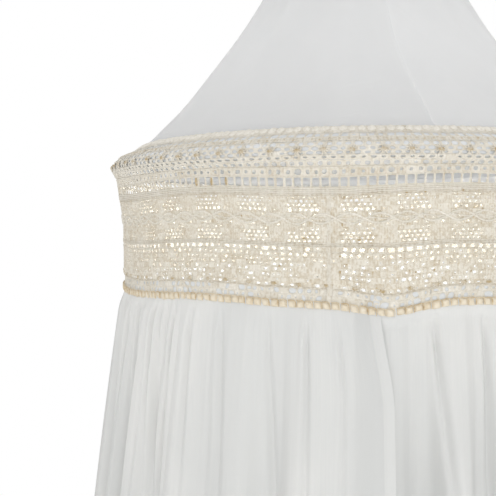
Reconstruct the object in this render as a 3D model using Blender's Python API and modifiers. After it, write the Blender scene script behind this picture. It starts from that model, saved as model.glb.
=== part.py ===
"""Lace bed canopy: a voile crown and drape on a wire hoop, joined by a band of crochet lace.

Metres, +Z up. The origin is the top of the hanging loop. Heights in the tables are
measured upwards from the hoop, and angles anticlockwise from +X, seen from above.
The front of the canopy looks along -Y.
"""

import math

import bmesh
import bpy

# Driving sizes
HOOP_DROP = 0.54  # from the top of the hanging loop down to the hoop
HOOP_RADIUS = 0.2946  # of the wire's middle line
HOOP_HEIGHT = -0.002  # the wire lies a little below the lace's widest row
WIRE = 0.003  # radius of the hoop's wire
WIRE_SIDES = 6
VOILE = 0.0012  # thickness of the crown and the drape
LACE = 0.0018  # thickness of the crochet
GAP = 0.0003  # between pieces that are sewn together

# The band, seen from the side: height, and radius of the lace's outer face
BAND = (
    (0.0300, 0.2564),
    (0.0200, 0.2723),
    (0.0120, 0.2894),
    (0.0060, 0.2982),
    (0.0000, 0.3020),
    (-0.0030, 0.3018),
    (-0.0065, 0.3004),
    (-0.0100, 0.2978),
    (-0.0139, 0.2958),
    (-0.0267, 0.2940),
    (-0.0533, 0.2900),
    (-0.0683, 0.2882),
    (-0.0983, 0.2878),
    (-0.1700, 0.2878),
)

# Corners of every ring, the first one on a seam of the crown
COLUMNS = 48
FIRST_SEAM = math.radians(-79.0)

# The crown above the lace: height, radius of the outer face at a crest, depth of a flute
CROWN = (
    (0.478, 0.0390, 0.0040),
    (0.450, 0.0330, 0.0040),
    (0.424, 0.0330, 0.0040),
    (0.380, 0.0480, 0.0050),
    (0.300, 0.0750, 0.0055),
    (0.220, 0.1110, 0.0045),
    (0.160, 0.1470, 0.0030),
    (0.105, 0.1890, 0.0014),
    (0.065, 0.2210, 0.0005),
    (0.042, 0.2430, 0.0000),
)
GORES = 4
FLUTES = 12  # soft folds round the neck
CASING_TURNS = (0, 45, 90, 135, 180)  # degrees round the underside of the wire
CASING_EASE = 0.0006  # between the wire and the cloth round it
CASING_END = 0.0040  # how far the casing's edge stands up inside the hoop

# Neck binding and hanging loop
BINDING_TOP = 0.449
BINDING_BOTTOM = 0.425
BINDING_THICK = 0.0022
BINDING_ROUND = 0.0008
TAPE_WIDTH = 0.012
TAPE_THICK = 0.0014
TAPE_FOOT = 0.428
LOOP_SPRING = 0.470  # where the two legs of the loop start to turn towards each other
LOOP_STEPS = 12

# Lace: heights of the rows in its three strips
EDGING_TOP = 0.0225
UPPER_LADDER_TOP = -0.0246
UPPER_LADDER_BOTTOM = -0.0328
UPPER_SEAM = -0.0365
LOWER_SEAM = -0.0825
LOWER_LADDER_TOP = -0.0861
LOWER_LADDER_BOTTOM = -0.0933
CORD_TOP = -0.1365
BAND_BOTTOM = -0.1433
OVER_HOOP = (0.0120, 0.0060, 0.0000, -0.0065)  # rows that bend the upper strip over the hoop
LOWER_BEND = (-0.0533, -0.0683)  # rows of the middle strip, where the band draws in
LADDER_HOLES = 144  # in each of the two ladder rows
LADDER_BAR = 0.28  # share of a ladder column that its thread takes
CORD_THICK = 0.0034
CORD_SIDES = 6
CORD_START = 0.25  # thickness of the ring that the cord is shaped from, against its radius

# How the lace rows wander: waves along the rows, and the dip over the front opening
WAVE = 0.0018
WAVE_COUNT = 7
WAVE_DIP = math.radians(-97.0)
WAVE_START = -0.008
WAVE_FULL = -0.022
SAG = 0.0078
SAG_AT = math.radians(-85.0)
SAG_WIDTH = math.radians(5.0)
SAG_START = -0.060
SAG_FULL = -0.140
CALM_START = -0.170  # from here the drape hangs more and more straight
CALM_FULL = -0.700

# The drape: height, radius at a fold's crest, depth of a fold from its middle line
DRAPE = (
    (-0.1240, 0.2851, 0.0000),
    (-0.1380, 0.2851, 0.0000),
    (-0.1450, 0.2846, 0.0010),
    (-0.1540, 0.2912, 0.0030),
    (-0.1665, 0.2950, 0.0040),
    (-0.2950, 0.3120, 0.0110),
    (-0.7000, 0.3640, 0.0240),
    (-1.2500, 0.4300, 0.0310),
    (-1.8600, 0.5000, 0.0350),
)
FOLDS = 28
FOLD_STEPS = 4  # columns across one fold
FRONT_EDGE = math.radians(-86.0)  # where the upper layer of the front opening ends
UNDER_FOLDS = 0.5  # how far the under layer runs on behind it
TUCK_FOLDS = 4.0  # over these folds the under layer comes back out
TUCK = 0.0035
TUCK_SHARE = 0.12  # deeper folds keep their two layers further apart
UNEVEN_FOLDS = ((3, 0.30, 0.4), (7, 0.22, 2.1))  # waves round the drape, share, phase
UNEVEN_PITCH = ((4, 0.020, 1.3), (9, 0.012, 0.2))  # waves round the drape, radians, phase

WHITE = (0.86, 0.87, 0.87)
CREAM = (0.84, 0.76, 0.62)
TAN = (0.80, 0.66, 0.45)
STEEL = (0.55, 0.55, 0.54)


def material(name, colour, roughness, metallic=0.0):
    """One finish, as a Principled BSDF."""
    made = bpy.data.materials.new(name)
    made.use_nodes = True
    shader = made.node_tree.nodes["Principled BSDF"]
    shader.inputs["Base Color"].default_value = (*colour, 1.0)
    shader.inputs["Roughness"].default_value = roughness
    shader.inputs["Metallic"].default_value = metallic
    made.diffuse_color = (*colour, 1.0)
    return made


def smooth_step(value):
    """0 below 0, 1 above 1, and a soft ramp between."""
    value = min(max(value, 0.0), 1.0)
    return value * value * (3.0 - 2.0 * value)


def band_radius(height):
    """The radius of the lace's outer face at a height, read between two rows of its table."""
    for upper, lower in zip(BAND, BAND[1:]):
        if height >= lower[0]:
            break
    share = (height - upper[0]) / (lower[0] - upper[0])
    return upper[1] + (lower[1] - upper[1]) * share


def row_shift(angle, height):
    """How far a row at this height is pulled up or down at this angle."""
    wave = WAVE / 3 - WAVE * math.cos(WAVE_COUNT * (angle - WAVE_DIP))
    wave *= smooth_step((WAVE_START - height) / (WAVE_START - WAVE_FULL))
    turn = math.remainder(angle - SAG_AT, math.tau)
    sag = -SAG * math.exp(-((turn / SAG_WIDTH) ** 2) / 2)
    sag *= smooth_step((SAG_START - height) / (SAG_START - SAG_FULL))
    calm = smooth_step((CALM_START - height) / (CALM_START - CALM_FULL))
    return (wave + sag) * (1.0 - calm)


def at(angle, radius, height):
    """A point in the part's frame."""
    return radius * math.cos(angle), radius * math.sin(angle), height - HOOP_DROP


def column_angle(column, columns=COLUMNS):
    """The angle of a corner of a ring."""
    return FIRST_SEAM + math.tau * column / columns


def sheet(columns, rows, place, closed, hole_row=None, every=1):
    """A net of cloth, each point of it set by place(column, row).

    In hole_row every second face is left out, and away from that row only each
    every-th column stays.
    """
    bm = bmesh.new()
    bmesh.ops.create_grid(bm, x_segments=columns, y_segments=rows, size=0.5)
    column = bm.verts.layers.int.new("column")
    row = bm.verts.layers.int.new("row")
    for point in bm.verts:
        point[column] = round((point.co.x + 0.5) * columns)
        point[row] = round((0.5 - point.co.y) * rows)
    if hole_row is not None:
        pierce(bm, column, row, hole_row)
    for point in bm.verts:
        point.co = place(point[column], point[row])
    if closed:
        bmesh.ops.remove_doubles(bm, verts=bm.verts, dist=1e-6)
    if every > 1:
        thin_out(bm, column, row, hole_row, every)
    face_outwards(bm)
    return bm


def pierce(bm, column, row, hole_row):
    """Leaves out every second face of one row."""
    holes = [
        face for face in bm.faces
        if min(point[row] for point in face.verts) == hole_row
        and min(point[column] for point in face.verts) % 2 == 0
    ]
    bmesh.ops.delete(bm, geom=holes, context="FACES_ONLY")


def thin_out(bm, column, row, hole_row, every):
    """Merges the columns that only the row of holes needs."""
    spare = []
    for edge in bm.edges:
        first, last = edge.verts
        upright = first[row] != last[row]
        in_hole_row = min(first[row], last[row]) == hole_row
        if upright and not in_hole_row and first[column] % every:
            spare.append(edge)
    bmesh.ops.dissolve_edges(bm, edges=spare, use_verts=True)


def face_outwards(bm):
    """Turns all faces of a sheet so that they look away from the axis."""
    bmesh.ops.recalc_face_normals(bm, faces=bm.faces)
    facing = 0.0
    for face in bm.faces:
        middle = face.calc_center_median()
        facing += (middle.x * face.normal.x + middle.y * face.normal.y) * face.calc_area()
    if facing < 0:
        bmesh.ops.reverse_faces(bm, faces=bm.faces)


def add_object(name, bm, finish, collection):
    """Makes the object of a bmesh, and frees the bmesh."""
    mesh = bpy.data.meshes.new(name)
    bm.to_mesh(mesh)
    bm.free()
    mesh.shade_smooth()
    mesh.set_sharp_from_angle(angle=math.radians(40))
    mesh.materials.append(finish)
    made = bpy.data.objects.new(name, mesh)
    collection.objects.link(made)
    return made


def thicken(cloth, thickness):
    """Gives a sheet its thickness, inwards from the face that was modelled."""
    solid = cloth.modifiers.new("Thickness", "SOLIDIFY")
    solid.thickness = thickness
    solid.offset = -1.0
    solid.use_even_offset = True


def add_lace(name, heights, finish, collection, hole_row=None):
    """One strip of lace round the band, with or without a ladder row of holes cut through."""
    pierced = hole_row is not None
    columns = 2 * LADDER_HOLES if pierced else COLUMNS

    def place(column, row):
        angle = column_angle(column, columns)
        if pierced and column % 2:
            angle += (0.5 - LADDER_BAR) * math.tau / LADDER_HOLES
        height = heights[row] + row_shift(angle, heights[row])
        return at(angle, band_radius(height), height)

    every = columns // COLUMNS
    bm = sheet(columns, len(heights) - 1, place, True, hole_row, every)
    thicken(add_object(name, bm, finish, collection), LACE)


def casing_profile():
    """The crown's edge: over the band's foot, down round the wire and up on its inner side."""
    reach = WIRE + CASING_EASE + VOILE
    points = []
    for (height, radius), (below, wider) in zip(BAND[:4], BAND[1:5]):
        slope = math.hypot(wider - radius, height - below)
        inwards = (LACE + GAP) / slope
        points.append((height - (wider - radius) * inwards, radius - (height - below) * inwards))
    for turn in CASING_TURNS:
        turn = math.radians(turn)
        points.append((HOOP_HEIGHT - reach * math.sin(turn), HOOP_RADIUS + reach * math.cos(turn)))
    points.append((HOOP_HEIGHT + CASING_END, HOOP_RADIUS - reach))
    return points


def add_gore(number, finish, collection):
    """One quarter of the crown, sewn edge to edge to the next, with its part of the casing."""
    rows = list(CROWN)
    rows += [(height, radius, 0.0) for height, radius in casing_profile()]
    columns = COLUMNS // GORES
    side_shift = {0: GAP / 2, columns: -GAP / 2}

    def place(column, row):
        height, radius, depth = rows[row]
        angle = column_angle(number * columns + column)
        crest = (1 - math.cos(FLUTES * (angle - FIRST_SEAM))) / 2
        radius -= 2 * depth * (1 - crest)
        angle += side_shift.get(column, 0.0) / radius
        return at(angle, radius, height)

    bm = sheet(columns, len(rows) - 1, place, False)
    thicken(add_object(f"crown_gore_{number + 1}", bm, finish, collection), VOILE)


def add_hoop(finish, collection):
    """The round wire that spreads the canopy."""
    bpy.ops.mesh.primitive_torus_add(
        major_segments=COLUMNS,
        minor_segments=WIRE_SIDES,
        major_radius=HOOP_RADIUS,
        minor_radius=WIRE,
        location=(0, 0, HOOP_HEIGHT - HOOP_DROP),
        rotation=(0, 0, FIRST_SEAM),
    )
    adopt("hoop", finish, collection)


def adopt(name, finish, collection):
    """Names the shape just added, dresses it and moves it to the canopy's collection."""
    made = bpy.context.object
    made.name = name
    for holder in made.users_collection:
        holder.objects.unlink(made)
    collection.objects.link(made)
    made.data.materials.clear()
    made.data.materials.append(finish)
    if made.type == "MESH":
        made.data.shade_smooth()
    return made


def add_edge_cord(finish, collection):
    """The stitched cord round the band's lower edge, which follows the edge's dips."""
    bpy.ops.mesh.primitive_torus_add(
        major_segments=COLUMNS,
        minor_segments=CORD_SIDES,
        major_radius=1.0,
        minor_radius=CORD_START,
    )
    cord = adopt("edge_cord", finish, collection)
    half_height = (CORD_TOP - GAP - BAND_BOTTOM) / 2
    middle = BAND_BOTTOM + half_height
    for point in cord.data.vertices:
        angle = math.atan2(point.co.y, point.co.x) + FIRST_SEAM
        outwards = (math.hypot(point.co.x, point.co.y) - 1.0) / CORD_START
        upwards = point.co.z / (CORD_START * math.sin(math.tau / CORD_SIDES))
        height = middle + upwards * half_height + row_shift(angle, CORD_TOP)
        radius = band_radius(middle) - LACE + (1 + outwards) * CORD_THICK / 2
        point.co = at(angle, radius, height)


def add_binding(finish, collection):
    """The band round the neck: a turned ring with soft edges."""
    inner = CROWN[1][1] + GAP
    outer = inner + BINDING_THICK
    soft = BINDING_ROUND
    profile = (
        (outer - soft, BINDING_TOP),
        (outer, BINDING_TOP - soft),
        (outer, BINDING_BOTTOM + soft),
        (outer - soft, BINDING_BOTTOM),
        (inner, BINDING_BOTTOM),
        (inner, BINDING_TOP),
    )
    bm = bmesh.new()
    points = [bm.verts.new((radius, 0, height)) for radius, height in profile]
    for first, last in zip(points, points[1:] + points[:1]):
        bm.edges.new((first, last))
    ring = add_object("neck_binding", bm, finish, collection)
    ring.location.z = -HOOP_DROP
    ring.rotation_euler.z = FIRST_SEAM
    turned = ring.modifiers.new("Turned", "SCREW")
    turned.steps = turned.render_steps = COLUMNS // 2
    turned.use_merge_vertices = True
    turned.merge_threshold = 1e-5


def add_loop(finish, collection):
    """The tape that the canopy hangs from: two legs inside the neck, and a round top."""
    _, crest, depth = CROWN[1]
    leg = crest - 2 * depth - VOILE - GAP - TAPE_THICK / 2
    rise = HOOP_DROP - TAPE_THICK / 2 - LOOP_SPRING
    path = [(leg, TAPE_FOOT)]
    for step in range(LOOP_STEPS + 1):
        turn = math.pi * step / LOOP_STEPS
        path.append((leg * math.cos(turn), LOOP_SPRING + rise * math.sin(turn)))
    path.append((-leg, TAPE_FOOT))
    curve = bpy.data.curves.new("hanging_loop", "CURVE")
    curve.dimensions = "2D"
    curve.fill_mode = "NONE"
    spline = curve.splines.new("POLY")
    spline.points.add(len(path) - 1)
    for point, (across, height) in zip(spline.points, path):
        point.co = (across, height, 0, 1)
    curve.bevel_depth = TAPE_THICK / 2
    curve.bevel_resolution = 0
    curve.extrude = TAPE_WIDTH / 2 - TAPE_THICK / 2
    curve.use_fill_caps = True
    curve.materials.append(finish)
    loop = bpy.data.objects.new("hanging_loop", curve)
    collection.objects.link(loop)
    loop.location.z = -HOOP_DROP
    loop.rotation_euler = (math.pi / 2, 0, FIRST_SEAM + math.pi / 2)


def fold_angle(fold):
    """The angle of a place on the drape, counted in folds from the front edge."""
    share = fold / FOLDS
    angle = FRONT_EDGE + math.tau * share
    for count, size, phase in UNEVEN_PITCH:
        angle += size * (math.sin(math.tau * count * share + phase) - math.sin(phase))
    return angle


def fold_size(fold):
    """How much deeper or shallower than its neighbours a fold is."""
    size = 1.0
    for count, share, phase in UNEVEN_FOLDS:
        size += share * math.sin(math.tau * count * fold / FOLDS + phase)
    return size


def add_drape(finish, collection):
    """The gathered sheet below the band, whose two hemmed edges overlap at the front."""
    columns = round((FOLDS + UNDER_FOLDS) * FOLD_STEPS)

    def place(column, row):
        height, crest_radius, depth = DRAPE[row]
        fold = (column + 0.5) / FOLD_STEPS - UNDER_FOLDS
        angle = fold_angle(fold)
        depth *= fold_size(fold)
        under = 1 - smooth_step((fold - UNDER_FOLDS) / TUCK_FOLDS)
        flat_fold = math.sqrt(2) * math.cos(math.tau * fold)
        radius = crest_radius - depth * (1 - flat_fold)
        radius -= (TUCK + TUCK_SHARE * depth) * under
        return at(angle, radius, height + row_shift(angle, height))

    bm = sheet(columns, len(DRAPE) - 1, place, False)
    thicken(add_object("drape", bm, finish, collection), VOILE)


def clear_scene():
    """Removes what the file starts with."""
    for old in list(bpy.data.objects):
        bpy.data.objects.remove(old, do_unlink=True)


def main():
    """Builds the canopy from the hoop outwards."""
    clear_scene()
    canopy = bpy.data.collections.new("lace_bed_canopy")
    bpy.context.scene.collection.children.link(canopy)
    voile = material("voile", WHITE, 0.9)
    crochet = material("crochet", CREAM, 0.95)
    cord = material("cord", TAN, 0.9)
    tape = material("tape", WHITE, 0.85)
    wire = material("wire", STEEL, 0.4, 1.0)

    add_hoop(wire, canopy)
    for number in range(GORES):
        add_gore(number, voile, canopy)
    add_binding(tape, canopy)
    add_loop(tape, canopy)

    upper = (EDGING_TOP, *OVER_HOOP, UPPER_LADDER_TOP, UPPER_LADDER_BOTTOM, UPPER_SEAM)
    middle = (UPPER_SEAM - GAP, *LOWER_BEND, LOWER_SEAM)
    lower = (LOWER_SEAM - GAP, LOWER_LADDER_TOP, LOWER_LADDER_BOTTOM, CORD_TOP)
    add_lace("lace_upper", upper, crochet, canopy, upper.index(UPPER_LADDER_TOP))
    add_lace("lace_middle", middle, crochet, canopy)
    add_lace("lace_lower", lower, crochet, canopy, lower.index(LOWER_LADDER_TOP))
    add_edge_cord(cord, canopy)
    add_drape(voile, canopy)


main()
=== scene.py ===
"""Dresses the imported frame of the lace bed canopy: voile crown, crochet band, stitched edge and drape."""
import logging
import math
from dataclasses import dataclass
from enum import Enum

import bpy
import numpy as np
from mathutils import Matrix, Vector


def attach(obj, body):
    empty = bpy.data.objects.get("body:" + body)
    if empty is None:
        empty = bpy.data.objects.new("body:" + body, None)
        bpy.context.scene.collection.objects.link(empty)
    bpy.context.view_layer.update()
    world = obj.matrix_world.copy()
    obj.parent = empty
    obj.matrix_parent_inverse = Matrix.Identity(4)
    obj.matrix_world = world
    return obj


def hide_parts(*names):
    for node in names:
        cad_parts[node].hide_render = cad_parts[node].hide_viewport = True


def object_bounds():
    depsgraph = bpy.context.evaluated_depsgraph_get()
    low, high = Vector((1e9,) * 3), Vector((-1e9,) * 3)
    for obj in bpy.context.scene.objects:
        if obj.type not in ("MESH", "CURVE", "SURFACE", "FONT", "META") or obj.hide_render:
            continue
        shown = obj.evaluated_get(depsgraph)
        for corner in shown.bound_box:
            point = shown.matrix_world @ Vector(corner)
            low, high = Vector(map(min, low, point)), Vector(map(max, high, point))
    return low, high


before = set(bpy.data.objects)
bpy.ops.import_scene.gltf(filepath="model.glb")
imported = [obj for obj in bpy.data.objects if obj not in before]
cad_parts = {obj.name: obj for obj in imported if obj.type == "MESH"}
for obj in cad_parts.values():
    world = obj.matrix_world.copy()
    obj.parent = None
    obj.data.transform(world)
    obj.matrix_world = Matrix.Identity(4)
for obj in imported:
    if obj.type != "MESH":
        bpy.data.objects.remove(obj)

LOG = logging.getLogger("lace_canopy")
CAD_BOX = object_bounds()
TURN = 2 * math.pi
# The hoop's depth below the loop's top, and the band's mean radius for lengths along it, in metres.
HOOP_DROP = 0.54
MEAN_RADIUS = 0.29
# Where the first gore's seam and the lace's sewn join stand round the hoop.
FIRST_SEAM = math.radians(-79)
JOIN_ANGLE = math.radians(-96)
SEED = 11

# Orders of a face's corners: facing the other way, and the same face named from its second corner.
TURNED_OVER = [0, 3, 2, 1]
FROM_SECOND_CORNER = [1, 2, 3, 0]

Triple = tuple[float, float, float]
Colour = Triple
Material = bpy.types.Material
Chance = np.random.Generator
Numbers = np.ndarray | float


class Slot(Enum):
    """The record's material slots."""

    VOILE = "voile"
    CROCHET = "crochet"
    CORD = "cord"
    TAPE = "tape"


def smooth_step(value: np.ndarray) -> np.ndarray:
    """Rises softly from 0 to 1 as value goes from 0 to 1."""
    share = np.clip(value, 0.0, 1.0)
    return share * share * (3 - 2 * share)


def ramp(value: np.ndarray, start: float, full: float) -> np.ndarray:
    """Goes softly from 0 where value is start to 1 where it is full."""
    return smooth_step((value - start) / (full - start))


def bell(value: np.ndarray) -> np.ndarray:
    """A soft bump, 1 at zero and nearly nothing past 2."""
    return np.exp(-value * value)


def turn_between(angle: np.ndarray, middle: Numbers) -> np.ndarray:
    """The shortest turn from middle to each angle, in radians."""
    return (angle - middle + math.pi) % TURN - math.pi


def around(count: int) -> np.ndarray:
    """The turns of so many points spread evenly round a circle."""
    return TURN * np.arange(count) / count


def unit(ways: np.ndarray) -> np.ndarray:
    """The same ways, each one metre long."""
    return ways / np.linalg.norm(ways, axis=-1, keepdims=True)


def paired(first: np.ndarray, second: np.ndarray) -> np.ndarray:
    """Two numbers a point, spread to one shape."""
    return np.stack(np.broadcast_arrays(first, second), axis=-1)


def band_cloth(angle: np.ndarray, height: np.ndarray) -> np.ndarray:
    """Metres along and down the band, from the turn and the height in millimetres."""
    return paired(angle * MEAN_RADIUS, height / 1000)


def turn_of(length: np.ndarray) -> np.ndarray:
    """The turn that a length in millimetres takes up along the band."""
    return length / (1000 * MEAN_RADIUS)


def at(angle: np.ndarray, radius: Numbers, height: np.ndarray) -> np.ndarray:
    """Places in the row frame from the turn, radius and height above the hoop."""
    angle, radius, height = np.broadcast_arrays(angle, radius, height)
    return np.stack([radius * np.cos(angle), radius * np.sin(angle), height - HOOP_DROP], axis=-1)


def grid_faces(rows: int, columns: int, closed: bool, endless: bool = False) -> np.ndarray:
    """Faces of a grid whose points run along each row in turn, from the top row down.

    Args:
        rows: how many rows of points.
        columns: how many points in a row.
        closed: whether the last column joins the first.
        endless: whether the last row joins the first.

    Returns:
        Four point numbers a face, facing outwards where columns run anticlockwise.
    """
    down = np.arange(rows if endless else rows - 1)
    across = np.arange(columns if closed else columns - 1)
    row, column = np.meshgrid(down, across, indexing="ij")
    below, after = (row + 1) % rows, (column + 1) % columns
    near, far = row * columns, below * columns
    return np.stack([near + column, far + column, far + after, near + after], axis=-1).reshape(-1, 4)


class MeshBag:
    """Gathers the points, faces, tints and cloth coordinates of one piece."""

    def __init__(self) -> None:
        """Starts empty."""
        self.points: list[np.ndarray] = []
        self.faces: list[list[int]] = []
        self.tints: list[np.ndarray] = []
        self.cloth: list[np.ndarray] = []
        self.count = 0

    def add(self, points: np.ndarray, faces: np.ndarray, tint: Numbers, cloth: np.ndarray) -> None:
        """Adds some faces.

        Args:
            points: places in the row frame.
            faces: point numbers, one row a face.
            tint: 0 for plain cloth to 1 for the darkest yarn or cloth laid double, one a point or one for
                all.
                Much of the yarn's tint is painted shade and highlight.
            cloth: metres along and down the cloth, two a point.
        """
        flat = points.reshape(-1, 3)
        self.points.append(flat)
        self.faces.extend((faces.reshape(-1, faces.shape[-1]) + self.count).tolist())
        self.tints.append(np.broadcast_to(tint, points.shape[:-1]).reshape(-1))
        self.cloth.append(np.broadcast_to(cloth, points.shape[:-1] + (2,)).reshape(-1, 2))
        self.count += len(flat)

    def add_copies(self, points: np.ndarray, faces: np.ndarray, tint: Numbers, cloth: np.ndarray) -> None:
        """Adds the same faces once for each copy of their points.

        Args:
            points: places, with the copies along the first axis.
            faces: point numbers in the first copy, one row a face.
            tint: as in add.
            cloth: as in add.
        """
        starts = np.arange(len(points)) * math.prod(points.shape[1:-1])
        self.add(points, faces[None] + starts[:, None, None], tint, cloth)

    def piece(self, name: str, finish: Material, slot: Slot, sharp: float = 80.0) -> bpy.types.Object:
        """Makes the piece and puts it on the frame's body.

        Args:
            name: the piece's name.
            finish: its material.
            slot: not used.
            sharp: faces that meet at less than this angle, in degrees, are shaded smooth.

        Returns:
            The mesh object.
        """
        mesh = bpy.data.meshes.new(name)
        mesh.from_pydata(np.concatenate(self.points).tolist(), [], self.faces)
        tint = mesh.attributes.new("tint", "FLOAT", "POINT")
        tint.data.foreach_set("value", np.concatenate(self.tints).astype(np.float32))
        layer = mesh.uv_layers.new(name="cloth")
        corners = np.empty(len(mesh.loops), dtype=np.int32)
        mesh.loops.foreach_get("vertex_index", corners)
        layer.data.foreach_set("uv", np.concatenate(self.cloth)[corners].astype(np.float32).reshape(-1))
        mesh.materials.append(finish)
        obj = bpy.data.objects.new(name, mesh)
        bpy.context.scene.collection.objects.link(obj)
        bpy.ops.object.select_all(action="DESELECT")
        obj.select_set(True)
        bpy.context.view_layer.objects.active = obj
        bpy.ops.object.shade_smooth_by_angle(angle=math.radians(sharp))
        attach(obj, "root")
        LOG.info("%s: %d faces", name, len(mesh.polygons))
        return obj


@dataclass(frozen=True)
class BandForm:
    """The round form that the lace hangs in: over the crown's foot, over the hoop and down.

    The profile gives heights above the hoop and the lace's outer radii. The rows wave softly below the hoop,
    and sag where the drape's front edge hangs on them. Each pair is a stretch of height in which one grows.
    """

    profile: tuple[tuple[float, float], ...] = (
        (0.0300, 0.2590),
        (0.0200, 0.2752),
        (0.0120, 0.2920),
        (0.0060, 0.2996),
        (0.0000, 0.3019),
        (-0.0030, 0.3020),
        (-0.0065, 0.3009),
        (-0.0100, 0.2984),
        (-0.0139, 0.2958),
        (-0.0267, 0.2940),
        (-0.0533, 0.2900),
        (-0.0683, 0.2882),
        (-0.0983, 0.2878),
        (-0.1700, 0.2878),
    )
    wave: float = 0.0018
    wave_count: int = 7
    wave_dip: float = math.radians(-97)
    wave_grows: tuple[float, float] = (-0.008, -0.022)
    sag: float = 0.0078
    sag_at: float = math.radians(-85)
    sag_width: float = math.radians(5)
    sag_grows: tuple[float, float] = (-0.060, -0.140)
    calm_grows: tuple[float, float] = (-0.170, -0.700)

    def radius(self, height: np.ndarray) -> np.ndarray:
        """The lace's outer radius at a height above the hoop."""
        heights, radii = np.array(self.profile[::-1]).T
        return np.interp(height, heights, radii)

    def row_shift(self, angle: np.ndarray, height: np.ndarray) -> np.ndarray:
        """How far a row of stitches rises or dips round the hoop.

        Args:
            angle: turn round the hoop, in radians.
            height: height above the hoop, in metres.

        Returns:
            The rise in metres.
        """
        swing = self.wave / 3 - self.wave * np.cos(self.wave_count * (angle - self.wave_dip))
        dip = -self.sag * bell(turn_between(angle, self.sag_at) / self.sag_width / math.sqrt(2))
        moved = swing * ramp(height, *self.wave_grows) + dip * ramp(height, *self.sag_grows)
        return moved * (1 - ramp(height, *self.calm_grows))

    def place(self, angle: np.ndarray, height: np.ndarray, lift: Numbers) -> np.ndarray:
        """Places on the lace.

        Args:
            angle: turn round the hoop, in radians.
            height: height above the hoop, in metres.
            lift: metres outwards from the lace's outer face.

        Returns:
            Points in the row frame.
        """
        reach = 0.002
        slope = (self.radius(height + reach) - self.radius(height - reach)) / (2 * reach)
        length = np.sqrt(1 + slope * slope)
        raised = height - lift * slope / length
        return at(angle, self.radius(height) + lift / length, raised + self.row_shift(angle, height))


BAND = BandForm()


class Node:
    """A shader socket that Python's operators work on."""

    def __init__(self, shader: "Shader", socket: bpy.types.NodeSocket) -> None:
        """Keeps the socket and the shader that it is in."""
        self.shader = shader
        self.socket = socket

    def maths(self, operation: str, *values: "Node | float") -> "Node":
        """One Math node on this socket's tree."""
        return self.shader.node("ShaderNodeMath", {"operation": operation}, dict(enumerate(values)))[0]

    def __add__(self, other: "Node | float") -> "Node":
        """Sum."""
        return self.maths("ADD", self, other)

    __radd__ = __add__

    def __sub__(self, other: "Node | float") -> "Node":
        """Difference."""
        return self.maths("SUBTRACT", self, other)

    def __rsub__(self, other: float) -> "Node":
        """Difference from a number."""
        return self.maths("SUBTRACT", other, self)

    def __mul__(self, other: "Node | float") -> "Node":
        """Product."""
        return self.maths("MULTIPLY", self, other)

    __rmul__ = __mul__

    def sine(self) -> "Node":
        """Sine of the value in radians."""
        return self.maths("SINE", self)

    def clipped(self, low: float, high: float) -> "Node":
        """0 at low to 1 at high, held between them."""
        links = {0: self, 1: low, 2: high, 3: 0.0, 4: 1.0}
        return self.shader.node("ShaderNodeMapRange", {"interpolation_type": "SMOOTHSTEP"}, links)[0]


class Shader:
    """Builds one material's node tree."""

    def __init__(self, name: str) -> None:
        """Starts a material with an empty tree.

        Args:
            name: the material's name.
        """
        self.material = bpy.data.materials.new(name)
        self.material.use_nodes = True
        self.tree = self.material.node_tree
        self.tree.nodes.clear()

    def node(self, kind: str, settings: dict | None = None, links: dict | None = None) -> list[Node]:
        """Adds a node.

        Args:
            kind: the node's type.
            settings: its properties, set first.
            links: values or sockets for its inputs, by name or number.

        Returns:
            Its outputs.
        """
        made = self.tree.nodes.new(kind)
        for name, value in (settings or {}).items():
            setattr(made, name, value)
        for name, value in (links or {}).items():
            if isinstance(value, Node):
                self.tree.links.new(value.socket, made.inputs[name])
            else:
                made.inputs[name].default_value = value
        return [Node(self, socket) for socket in made.outputs]

    def place(self) -> Node:
        """Where a point is, in metres."""
        return self.node("ShaderNodeTexCoord")[3]

    def cloth(self) -> Node:
        """Metres along and down the cloth."""
        return self.node("ShaderNodeUVMap", {"uv_map": "cloth"})[0]

    def tint(self) -> Node:
        """The tint kept on the piece's points."""
        return self.node("ShaderNodeAttribute", {"attribute_name": "tint"})[2]

    def noise(self, place: Node, scale: float, detail: float = 3.0, stretch: tuple = (1, 1, 1)) -> Node:
        """Noise from about 0.3 to 0.7, stretched along the axes given."""
        moved = self.node("ShaderNodeMapping", {}, {"Vector": place, "Scale": stretch})[0]
        return self.node("ShaderNodeTexNoise", {}, {"Vector": moved, "Scale": scale, "Detail": detail})[0]

    def blend(self, share: Node, first: Colour | Node, second: Colour | Node) -> Node:
        """A colour between two.

        Args:
            share: 0 for the first to 1 for the second.
            first: a colour.
            second: another colour.

        Returns:
            The blended colour.
        """
        links = {0: share}
        for number, colour in ((6, first), (7, second)):
            links[number] = colour if isinstance(colour, Node) else (*colour, 1.0)
        return self.node("ShaderNodeMix", {"data_type": "RGBA", "clamp_factor": True}, links)[2]

    def bump(self, height: Node, distance: float, strength: float = 1.0) -> Node:
        """A bumped normal."""
        links = {"Height": height, "Distance": distance, "Strength": strength}
        return self.node("ShaderNodeBump", {}, links)[0]

    def finish(
        self,
        colour: Node,
        rough: Node,
        normal: Node,
        sheen: float,
        glow: float = 0.0,
        through: Colour = (1.0, 1.0, 1.0),
    ) -> Material:
        """Ends the tree with cloth that lets some light through.

        Args:
            colour: base colour.
            rough: roughness.
            normal: bumped normal.
            sheen: weight of the soft edge sheen.
            glow: share of light that passes through the cloth.
            through: the colour of that light.

        Returns:
            The material.
        """
        links = {"Base Color": colour, "Roughness": rough, "Normal": normal, "Sheen Weight": sheen}
        links["Specular IOR Level"] = 0.2
        face = self.node("ShaderNodeBsdfPrincipled", {}, links)[0]
        if glow:
            links = {"Color": (*through, 1.0), "Normal": normal}
            passed = self.node("ShaderNodeBsdfTranslucent", {}, links)[0]
            face = self.node("ShaderNodeMixShader", {}, {0: glow, 1: face, 2: passed})[0]
        self.node("ShaderNodeOutputMaterial", {}, {"Surface": face})
        return self.material


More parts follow.
